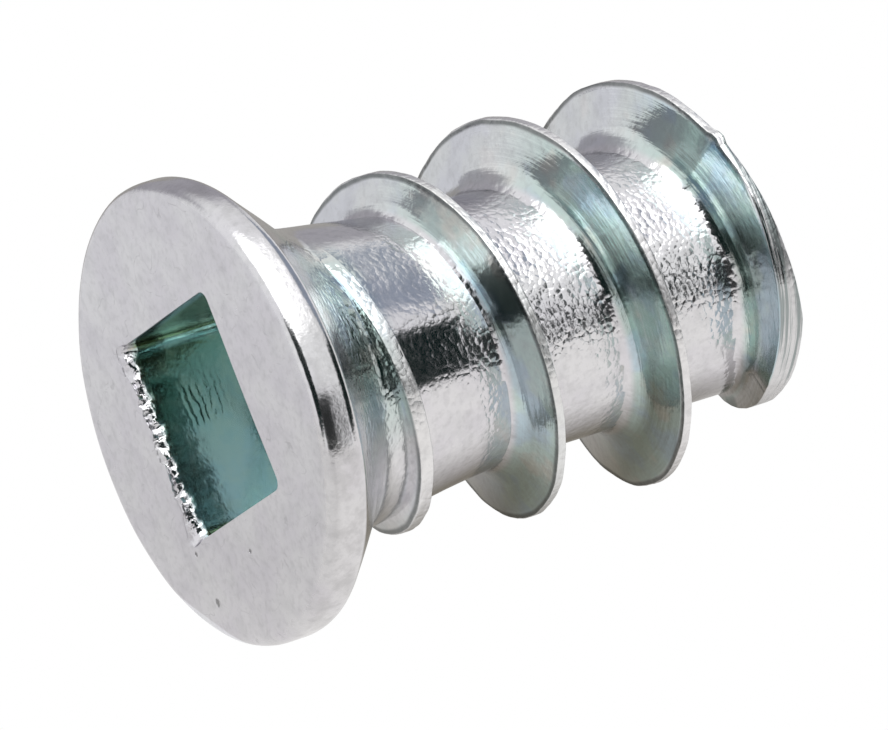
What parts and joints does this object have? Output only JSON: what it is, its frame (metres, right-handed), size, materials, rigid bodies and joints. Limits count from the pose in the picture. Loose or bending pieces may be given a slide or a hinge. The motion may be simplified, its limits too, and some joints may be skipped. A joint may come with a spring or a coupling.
{
  "type": "euro screw",
  "caption": "Short stout steel screw with a thin countersunk head, a square drive socket and a deep coarse thread, for fixing fittings into 5 mm system holes in cabinet sides.",
  "frame": {"origin": "middle of the head's flat face", "axes": "+Z along the screw's axis from the head's face to the tip; +X and +Y square to the flats of the drive socket"},
  "size_m": [0.0082, 0.0082, 0.0104],
  "materials": {
    "zinc_plate": "bright zinc plate on cold-formed steel, lightly scuffed, with a cool blue-green passivation tint"
  },
  "bodies": {
    "root": {"screw": "zinc_plate"}
  },
  "joints": []
}
